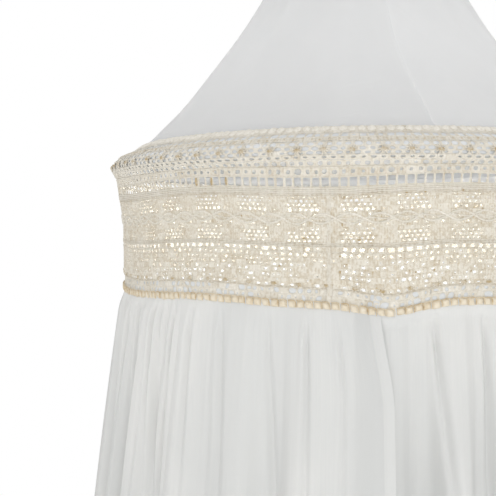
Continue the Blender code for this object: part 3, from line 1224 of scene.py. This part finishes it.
@dataclass(frozen=True)
class Neck:
    """The gathered binding round the neck and the tape loop that the canopy hangs from."""

    inner: float = 0.0333
    thick: float = 0.0022
    outer: float = 0.0355
    top: float = 0.449
    foot: float = 0.425
    tape_wide: float = 0.012
    tape_thick: float = 0.0014
    tape_foot: float = 0.428
    spring: float = 0.470
    leg: float = 0.0228

    def binding(self, finish: Material) -> None:
        """Makes the binding: a folded tape with two lines of stitches.

        Args:
            finish: the tape's material.
        """
        chance = np.random.default_rng(SEED + 7)
        columns, edge, stitch_lines = 192, 0.0003, (0.2, 0.8)
        fold = ((0.0, edge), (0.45, 0.0), (0.85, 0.0006), (1.0, 0.002))
        profile = [(out, self.top - down) for out, down in fold]
        for share in np.linspace(0.12, 0.88, 11):
            dip = 0.16 * sum(bell((share - line) / 0.035) for line in stitch_lines)
            profile.append((1.0 - dip, self.top + (self.foot - self.top) * share))
        profile += [(out, self.foot + up) for out, up in fold[::-1]]
        out, height = np.array(profile).T[..., None]
        angle = FIRST_SEAM + around(columns)[None]
        gather = 0.00018 * np.sin(48 * angle) + 0.00008 * np.sin(31 * angle + 1)
        radius = self.inner + self.thick * out + gather * (out > 0.5)
        tint = 0.25 + 0.25 * np.abs(np.sin(24 * angle)) + chance.normal(0, 0.05, radius.shape)
        bag = MeshBag()
        faces = grid_faces(len(profile), columns, True)
        bag.add(at(angle, radius, height), faces, tint, paired(angle * self.outer, height))
        inside = np.array([self.foot + edge, self.top - edge])[:, None]
        wall = at(angle, self.inner, inside)
        bag.add(wall, grid_faces(2, columns, True), 0.4, paired(angle * self.outer, inside))
        piece = bag.piece("neck_tape_binding", finish, Slot.TAPE)
        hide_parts("neck_binding")

    def loop_path(self) -> np.ndarray:
        """The middle line of the loop, up one leg, over and down the other.

        Returns:
            Metres aside and height above the hoop, one row a point.
        """
        rise = HOOP_DROP - self.tape_thick / 2 - self.spring
        leg_up = np.linspace(self.tape_foot, self.spring, 14)
        path = [(self.leg, height) for height in leg_up[:-1]]
        for turn in np.linspace(0, math.pi, 41):
            path.append((self.leg * math.cos(turn), self.spring + rise * math.sin(turn)))
        path += [(-self.leg, height) for height in leg_up[-2::-1]]
        return np.array(path)

    def loop(self, finish: Material) -> None:
        """Makes the loop: a ribbed tape with thick selvedges.

        Args:
            finish: the tape's material.
        """
        path = self.loop_path()
        ahead = unit(np.gradient(path, axis=0))
        out = np.stack([ahead[:, 1], -ahead[:, 0]], axis=1)
        travelled = np.append(0, np.cumsum(np.hypot(*np.diff(path, axis=0).T)))[:, None]
        section = [(share, 1.0 if abs(share) < 0.99 else 0.35) for share in np.linspace(-1, 1, 13)]
        section += [(share, -height) for share, height in section[::-1]]
        across, level = np.array(section).T[:, None]
        ribs = 0.82 + 0.18 * np.cos(across * math.pi * 6)
        shift = level * (self.tape_thick / 2) * ribs * (1 + 0.10 * np.sin(travelled * 2600))
        centre = path[:, None, :] + out[:, None, :] * shift[..., None]
        wide = across * self.tape_wide / 2 * (1 + 0.02 * np.sin(travelled * 900))
        turn = FIRST_SEAM + math.pi / 2
        place_x = centre[..., 0] * math.cos(turn) - wide * math.sin(turn)
        place_y = centre[..., 0] * math.sin(turn) + wide * math.cos(turn)
        points = np.stack([place_x, place_y, centre[..., 1] - HOOP_DROP], axis=-1)
        bag = MeshBag()
        count = points.shape[1]
        tint = 0.2 + 0.2 * (np.abs(across) > 0.8)
        bag.add(points, grid_faces(len(path), count, True), tint, paired(wide, travelled))
        for start, order in ((0, 1), ((len(path) - 1) * count, -1)):
            for number in range(count // 2 - 1):
                face = [number, number + 1, count - 2 - number, count - 1 - number]
                bag.faces.append([start + corner for corner in face[::order]])
        piece = bag.piece("hanging_tape_loop", finish, Slot.TAPE)
        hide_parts("hanging_loop")


@dataclass(frozen=True)
class Crease:
    """One crease of the drape, with its place at the top and at 12 cm below the band's edge, in degrees."""

    top: float
    foot: float
    deep: float
    wide: float
    ridge: float = 0.5
    length: float = 0.6
    edge: float = -0.145

    def offset(self, angle: np.ndarray, height: np.ndarray) -> np.ndarray:
        """How far the crease pushes the cloth in or out.

        Args:
            angle: turn round the hoop, in radians.
            height: height above the hoop, in metres.

        Returns:
            Metres outwards.
        """
        share = np.clip((self.edge - height) / 0.12, 0, 4)
        middle = np.radians(self.top + (self.foot - self.top) * np.minimum(share, 1.6))
        away = turn_between(angle, middle) / (math.radians(self.wide) * (1 + 0.5 * share))
        grow = ramp(height, self.edge, self.edge - 0.035) * (1 - ramp(height, -0.15, -0.15 - self.length))
        trough = -bell(away) + self.ridge * (bell((away + 2.1) / 1.5) + 0.5 * bell((away - 2.2) / 1.7))
        return self.deep * trough * grow


@dataclass(frozen=True)
class Drape:
    """The long gathered sheet, whose two hemmed edges overlap at the front.

    Each row gives a height above the hoop, the crests' radius there and half the folds' depth. Each pair
    named for what grows or fades in it is a stretch of height. An uneven wave has its count, size and phase.
    """

    rows: tuple[Triple, ...] = (
        (-0.1240, 0.2858, 0.0),
        (-0.1380, 0.2860, 0.0),
        (-0.1440, 0.2874, 0.0008),
        (-0.1540, 0.2900, 0.0025),
        (-0.1665, 0.2926, 0.0030),
        (-0.2250, 0.3010, 0.0055),
        (-0.2950, 0.3108, 0.0105),
        (-0.7000, 0.3640, 0.0240),
        (-1.2500, 0.4300, 0.0310),
        (-1.8600, 0.5000, 0.0350),
    )
    folds: int = 28
    steps: int = 24
    fold_cloth: float = 0.185
    front_edge: float = math.radians(-86)
    sewn_foot: float = -0.1425
    under: float = 0.5
    tuck_folds: float = 4.0
    tuck: float = 0.0035
    tuck_share: float = 0.12
    tuck_grows: tuple[float, float] = (-0.143, -0.155)
    flap_flat: float = 0.75
    flap_fades: tuple[float, float] = (-0.25, -0.55)
    edge_turn: tuple[float, float] = (-2.6, -0.3)
    edge_turns: tuple[float, float] = (-0.13, -0.23)
    gather_grows: tuple[float, float] = (-0.142, -0.162)
    gather_fades: tuple[float, float] = (-0.16, -0.71)
    side_hem: float = 0.0085
    foot_hem: float = -1.835
    hem_thick: float = 0.0006
    uneven_folds: tuple[tuple[int, float, float], ...] = ((3, 0.30, 0.4), (7, 0.22, 2.1))
    uneven_pitch: tuple[tuple[int, float, float], ...] = ((4, 0.020, 1.3), (9, 0.012, 0.2))
    creases: tuple[Crease, ...] = (
        Crease(-99.8, -99.5, 0.0030, 0.40),
        Crease(-92.8, -93.1, 0.0022, 0.34),
        Crease(-76.9, -75.0, 0.0040, 0.40, 0.6),
        Crease(-66.9, -66.2, 0.0040, 0.40, 0.6),
        Crease(-107.8, -106.4, 0.0028, 0.45),
        Crease(-117.9, -116.4, 0.0032, 0.55),
        Crease(-125.4, -124.8, 0.0032, 0.50),
        Crease(-129.5, -132.5, 0.0042, 0.45),
        Crease(-133.5, -135.5, 0.0038, 0.50),
        Crease(-138.0, -138.6, 0.0036, 0.55),
        Crease(-143.0, -144.0, 0.0042, 0.65),
        Crease(-150.0, -151.0, 0.0046, 0.80),
    )

    def form(self, fold: np.ndarray, height: np.ndarray) -> tuple[np.ndarray, np.ndarray]:
        """Turn and radius of the cloth.

        Args:
            fold: place along the cloth, in folds from the front edge.
            height: height above the hoop.

        Returns:
            The turn in radians and the radius in metres.
        """
        heights, crests, depths = np.array(self.rows[::-1]).T
        crest, depth = np.interp(height, heights, crests), np.interp(height, heights, depths)
        share = fold / self.folds
        angle = self.front_edge + TURN * share
        for count, size, phase in self.uneven_pitch:
            angle = angle + size * (np.sin(TURN * count * share + phase) - math.sin(phase))
        flat = ramp(fold - self.folds, -1.3, -0.9) * (1 - ramp(height, *self.flap_fades))
        depth = depth * (1 - self.flap_flat * flat)
        size = 1.0
        for count, part, phase in self.uneven_folds:
            size = size + part * np.sin(TURN * count * share + phase)
        wave = np.cos(TURN * fold)
        wave = wave * (1.3 - 0.3 * wave * wave)
        under = (1 - ramp(fold, self.under, self.under + self.tuck_folds)) * ramp(height, *self.tuck_grows)
        radius = crest - depth * size * (1 - wave) - (self.tuck + self.tuck_share * depth) * under
        radius = radius + self.gathers(fold, angle, height)
        for crease in self.creases:
            radius = radius + crease.offset(angle, height)
        first, last = np.radians(self.edge_turn)
        drift = first + (last - first) * ramp(height, *self.edge_turns)
        return angle + drift * ramp(fold - self.folds, -1.2, 0.0), radius

    def gathers(self, fold: np.ndarray, angle: np.ndarray, height: np.ndarray) -> np.ndarray:
        """The fine gathers under the cord, deeper round the left side and calm in front.

        Args:
            fold: place along the cloth, in folds from the front edge.
            angle: its turn, in radians.
            height: height above the hoop.

        Returns:
            Metres outwards.
        """
        turn = TURN * fold
        fine = np.sin(5.2 * turn + 1.7 * np.sin(0.37 * turn)) + 0.6 * np.sin(7.7 * turn + 2.0)
        busy = 0.35 + 0.65 * ramp(np.abs(turn_between(angle, math.radians(-95))), 0.45, 0.80)
        left = math.radians(-114)
        deep = 0.0005 + 0.0017 * ramp(turn_between(angle, 0.0), left, left - 0.25)
        fade = ramp(height, *self.gather_grows) * (1 - ramp(height, *self.gather_fades))
        return deep * fine * fade * busy

    def grid(self) -> tuple[np.ndarray, np.ndarray]:
        """The lines that the sheet is meshed on, closest where the photograph sees it and at its hems.

        Returns:
            Places along the cloth in folds, and heights above the hoop from the top down.
        """
        last = self.folds + 0.125
        fold = np.linspace(-0.375, last, int((self.folds + self.under) * self.steps) + 1)
        between = (fold[1:] + fold[:-1]) / 2
        seen = np.abs(turn_between(self.front_edge + TURN * between / self.folds, math.radians(-105))) < 0.9
        hem_lines = last - np.array([0.012, 0.135, 0.15, 0.165])
        fold = np.unique(np.concatenate([fold, between[seen], hem_lines]))
        top, knee, foot = -0.124, -0.30, -1.86
        upper = top + (knee - top) * np.linspace(0, 1, 45)
        lower = knee + (foot - knee) * np.linspace(0, 1, 46)[1:] ** 1.15
        hem = self.foot_hem + np.array([0.003, 0.0, -0.003])
        return fold, np.sort(np.concatenate([upper, lower, hem]))[::-1]

    def build(self, finish: Material) -> None:
        """Hangs the sheet with its hems.

        Args:
            finish: the voile.
        """
        fold, height = self.grid()
        height = height[:, None]
        angle, radius = self.form(fold, height)
        from_edge = (fold[-1] - fold) * TURN / self.folds * radius
        hem_line = bell((from_edge - self.side_hem) / 0.0011) + bell((height - self.foot_hem) / 0.0025)
        folded = ramp(from_edge, self.side_hem + 0.001, self.side_hem)
        folded = folded + ramp(height, self.foot_hem + 0.002, self.foot_hem - 0.001)
        radius = radius + self.hem_thick * (folded - hem_line)
        tint = np.where(height > self.sewn_foot, 1.0, -0.3 * np.minimum(folded, 1.0))
        points = at(angle, radius, height + BAND.row_shift(angle, height))
        bag = MeshBag()
        faces = grid_faces(len(height), len(fold), False)
        bag.add(points, faces, tint, paired(fold * self.fold_cloth, height))
        piece = bag.piece("gathered_drape", finish, Slot.VOILE)
        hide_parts("drape")


def upper_edging() -> LaceStrip:
    """The upper edging from its scalloped top over the hoop.

    Returns:
        The strip, charted.
    """
    # The upper rows' tints, lighter than the default 0.25, are painted light: lighter yarn where these rows
    # face up to the light.
    top_row = {"crest": 0.0, "sink": 0.0014, "contrast": 0.3, "tint": 0.0}
    sunk = {"crest": 0.0, "deep": 0.0002, "tint": -0.05}
    net = {"square": 0.0, "shut": 0.03, "contrast": 0.25}
    stronger = {"contrast": 0.3}
    return LaceStrip(
        name="crochet_edging_upper",
        node="lace_upper",
        rows=(
            CellRow(25.6, 18.2, 216, shut=1.0, sink=0.0014, tint=0.0),
            CellRow(18.2, 13.4, 216, 0.70, 0.72, 0.5, uneven=0.8, deep=0.0001, **top_row),
            CellRow(13.4, 9.2, 300, shut=1.0, sink=0.0012, tint=0.0),
            CellRow(9.2, 3.7, 216, 0.66, 0.76, offset=0.5, sink=0.0013, **net, **sunk),
            CellRow(3.7, -0.8, 216, 0.66, 0.78, sink=0.0013, **net, **sunk),
            CellRow(-0.8, -5.0, 216, 0.66, 0.78, offset=0.5, sink=0.0012, **net, **sunk),
            CellRow(-5.0, -9.4, 216, 0.50, 0.54, crest=0.0001, deep=0.0003, sink=0.0008, tint=0.05, **net),
            CellRow(-9.4, -14.6, 216, 0.58, 0.68, offset=0.5, sink=0.0003, tint=0.1, **(net | stronger)),
            CellRow(-14.6, -22.8, 216, 0.46, 0.50, 0.1, uneven=0.8, contrast=0.3, tint=0.15),
            CellRow(-22.8, -32.6, 216, 0.76, 0.84, 0.8, uneven=0.2, sides=16, contrast=0.2, tint=0.15),
            CellRow(-32.4, -38.4, 216, shut=1.0, tint=0.05),
        ),
        chains=(
            Chain(13.2, 0.0006, -0.0011, -0.2),
            Chain(-15.0, 0.0009, tint=-0.05),
            Chain(-22.9, 0.0008, tint=-0.05),
            Chain(-33.4, 0.0009, tint=-0.15),
            Chain(-35.2, 0.0009, tint=-0.1),
            Chain(-37.0, 0.0009, tint=-0.15),
        ),
        knots=(Knots(0.0, 8, 4.6),),
        # The top picots' light tint is a painted highlight, and the small dark spots below the slit row are
        # painted shadow.
        scallops=(
            Scallops(23.2, 196, 4.5, 3.2, 0.0013, -0.30, -0.0012),
            Scallops(11.0, 216, 1.6, 1.5, 0.0007, 0.52, -0.0010),
        ),
        ochre=tuple((turn, -27.7, 4.0, 10.2) for turn in (-123.0, -119.2, -115.8)),
        flat=(1.86, 0.08),
        seed=SEED,
    )


def insertion() -> LaceStrip:
    """The insertion with its blocks and leaves.

    Returns:
        The strip, charted.
    """
    charts = (
        (-43.0, 0.48, 0.58, 0.0, 0.05, "o####oo.oO"),
        (-46.6, 0.48, 0.58, 0.5, 0.05, "#.###.oOo."),
        (-50.4, 0.48, 0.60, 0.0, 0.05, "o####oooOo"),
        (-55.0, 0.54, 0.58, 0.4, 0.05, "O#.##O.OoO"),
        (-59.6, 0.46, 0.44, 0.0, 0.08, "o####o#.##"),
        (-64.0, 0.48, 0.46, 0.3, 0.08, "#.####o##o"),
        (-68.4, 0.50, 0.48, 0.0, 0.08, ".##o###oo#"),
        (-72.2, 0.46, 0.48, 0.5, 0.08, "o####.#.#o"),
        (-75.9, 0.50, 0.60, 0.0, 0.05, "o####ooOoo"),
        (-79.5, 0.50, 0.60, 0.5, 0.05, "O####oOoOo"),
        (-83.0, 0.50, 0.58, 0.0, 0.05, "o####OooOo"),
    )
    rows = [CellRow(-38.4, -39.6, 216, shut=1.0)]
    for foot, wide, tall, offset, shut, chart in charts:
        top = rows[-1].foot
        rows.append(CellRow(top, foot, 360, wide, tall, 0.0, offset, shut=shut, chart=chart, contrast=1.1))
    rows.append(CellRow(-83.0, -85.6, 216, shut=1.0))
    return LaceStrip(
        name="crochet_insertion",
        node="lace_middle",
        rows=tuple(rows),
        chains=(
            Chain(-38.6, 0.0007, tint=0.1),
            Chain(-40.4, 0.0006, tint=0.1),
            Chain(-83.4, 0.0007, tint=0.05),
            Chain(-85.0, 0.0007, tint=0.05),
        ),
        braids=(
            Braid(-61.0, 4.6, 36, 0.4),
            Braid(-61.0, 4.6, 36, 0.4 + math.pi),
            Braid(-61.2, 0.8, 72, 1.0, 0.0008),
        ),
        ochre=(
            (-100.6, -78.6, 5.0, 1.8),
            (-90.6, -80.0, 5.0, 2.0),
            (-93.2, -42.0, 1.8, 5.0),
            (-82.2, -39.6, 3.6, 2.4),
            (-78.9, -39.6, 3.6, 2.4),
            (-72.0, -38.6, 3.0, 2.2),
            (-107.6, -76.0, 2.0, 5.0),
            (-113.0, -60.0, 2.4, 2.6),
            (-98.0, -57.0, 4.0, 1.8),
            (-87.0, -55.0, 4.0, 1.6),
            (-93.6, -66.0, 2.0, 5.0),
            (-76.0, -57.0, 4.0, 1.8),
            (-68.0, -55.0, 4.0, 1.8),
        ),
        flat=(1.84, 0.047),
        seed=SEED + 1,
    )


def lower_edging() -> LaceStrip:
    """The lower edging, from its ladder row down to the cord.

    Returns:
        The strip, charted.
    """
    dense = {"square": 0.0, "uneven": 1.5}
    first = {"square": 0.1, "deep": 0.0003, "sink": 0.0008, "contrast": 0.3}
    last = {"square": 0.1, "deep": 0.0002, "sink": 0.0014, "contrast": 0.3, "tint": 0.0}
    return LaceStrip(
        name="crochet_edging_lower",
        node="lace_lower",
        rows=(
            CellRow(-85.6, -91.2, 216, 0.46, 0.70, 0.5, uneven=0.8, sides=16, shut=0.02),
            CellRow(-91.2, -96.4, 252, 0.38, 0.52, 0.1, offset=0.5, uneven=1.0, shut=0.05),
            CellRow(-96.4, -101.0, 300, 0.32, 0.38, shut=0.28, **dense),
            CellRow(-101.0, -105.4, 300, 0.34, 0.42, offset=0.5, shut=0.30, **dense),
            CellRow(-105.4, -110.6, 276, 0.30, 0.37, shut=0.32, **dense),
            CellRow(-110.6, -115.6, 300, 0.33, 0.38, offset=0.5, shut=0.30, **dense),
            CellRow(-115.6, -119.6, 288, 0.32, 0.40, 0.0, uneven=1.4, shut=0.5),
            CellRow(-119.6, -124.4, 216, 0.36, 0.44, uneven=1.0, shut=0.25, **first),
            CellRow(-124.4, -130.4, 240, 0.46, 0.54, offset=0.5, uneven=1.6, shut=0.15, **last),
            CellRow(-130.4, -136.8, 240, 0.54, 0.58, uneven=1.7, shut=0.12, **last),
        ),
        chains=(
            Chain(-86.4, 0.0008, tint=0.05),
            Chain(-91.2, 0.0007, tint=0.1),
            Chain(-124.4, 0.0007, -0.0004, 0.2),
        ),
        knots=(Knots(-121.5, 7, 3.6),),
        ochre=(
            (-105.4, -105.0, 2.6, 2.2),
            (-94.0, -94.5, 2.4, 2.2),
            (-94.0, -108.5, 2.4, 4.2),
            (-80.4, -108.5, 2.4, 2.6),
            (-77.0, -109.0, 2.4, 2.6),
            (-70.0, -112.0, 2.4, 2.6),
            (-112.0, -101.0, 2.4, 2.2),
        ),
        flat=(1.81, 0.053),
        seed=SEED + 2,
    )


def dress_hoop(finish: Material) -> None:
    """Gives the CAD hoop its painted finish."""
    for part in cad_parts["hoop"].material_slots:
        part.material = finish


def place_camera() -> None:
    """Puts the camera where the photograph was taken."""
    focal_pixels, image_width = 911.5, 496.0
    yaw, pitch, roll = 0.1247, -0.0229, 0.0024
    camera = bpy.data.objects.new("photo_camera", bpy.data.cameras.new("photo_camera"))
    bpy.context.scene.collection.objects.link(camera)
    bpy.context.scene.camera = camera
    camera.data.sensor_fit = "HORIZONTAL"
    camera.data.sensor_width = 36.0
    camera.data.lens = focal_pixels * camera.data.sensor_width / image_width
    camera.location = (0.0, -1.1195, -HOOP_DROP - 0.0694)
    ahead = Vector((-math.sin(yaw) * math.cos(pitch), math.cos(yaw) * math.cos(pitch), math.sin(pitch)))
    camera.rotation_euler = ahead.to_track_quat("-Z", "Y").to_euler()
    camera.rotation_euler.rotate_axis("Z", -roll)


def hang_lamp(name: str, kind: str, place: Triple, towards: Triple, settings: dict) -> None:
    """Adds a light.

    Args:
        name: its name.
        kind: Blender's kind of light.
        place: where it is.
        towards: the point that it faces.
        settings: its strength in watts, its size and its spread.
    """
    light = bpy.data.lights.new(name, kind)
    for setting, value in settings.items():
        setattr(light, setting, value)
    lamp = bpy.data.objects.new(name, light)
    bpy.context.scene.collection.objects.link(lamp)
    lamp.location = place
    lamp.rotation_euler = (Vector(towards) - Vector(place)).to_track_quat("-Z", "Y").to_euler()


def light_studio() -> None:
    """White surroundings, soft lights in front, behind and inside the band, and a pale floor."""
    world = bpy.data.worlds.new("white_studio")
    world.use_nodes = True
    world.node_tree.nodes["Background"].inputs["Color"].default_value = (1.0, 1.0, 1.0, 1.0)
    world.node_tree.nodes["Background"].inputs["Strength"].default_value = 1.0
    bpy.context.scene.world = world
    bpy.context.scene.view_settings.view_transform = "Standard"
    front = {"energy": 27.0, "size": 1.2}
    back = {"energy": 16.0, "size": 1.6}
    inner = {"energy": 1.7, "shadow_soft_size": 0.06}
    band = {"energy": 3.4, "shadow_soft_size": 0.02, "spot_size": math.radians(177), "spot_blend": 0.02}
    hang_lamp("front_soft_light", "AREA", (0.3, -3.2, -1.5), (0.0, 0.0, -0.7), front)
    hang_lamp("back_soft_light", "AREA", (-0.6, 3.4, -1.2), (0.0, 0.0, -1.2), back)
    hang_lamp("inner_soft_light", "POINT", (0.0, 0.0, -0.545), (0.0, 0.0, -1.0), inner)
    hang_lamp("band_soft_light", "SPOT", (-0.03, 0.06, -0.549), (0.0, 0.06, -1.549), band)
    bpy.ops.object.select_all(action="DESELECT")
    bpy.ops.mesh.primitive_plane_add(size=8.0, location=(0.0, 0.0, CAD_BOX[0][2] - 0.03))
    floor = bpy.context.active_object
    floor.name = "studio_floor"
    shader = Shader("pale_floor")
    grain = shader.noise(shader.place(), 3.0)
    colour = shader.blend(grain.clipped(0.3, 0.7), (0.925, 0.925, 0.925), (0.935, 0.935, 0.93))
    normal = shader.bump(grain, 0.001, 0.1)
    floor.data.materials.append(shader.finish(colour, 0.7 + grain * 0.1, normal, 0.0))


def main() -> None:
    """Builds the canopy's looks from the camera to the drape."""
    logging.basicConfig(level=logging.INFO, format="%(name)s %(message)s")
    place_camera()
    light_studio()
    crochet, tape = CROCHET_COTTON.make(), COTTON_TAPE.make()
    Crown().build(CROWN_VOILE.make())
    dress_hoop(WireFinish().make())
    Neck().binding(tape)
    Neck().loop(tape)
    for strip in (upper_edging(), insertion(), lower_edging()):
        strip.build(crochet)
    StitchedEdge().build(EDGE_COTTON.make())
    Drape().build(DRAPE_VOILE.make())


if __name__ == "__main__":
    main()
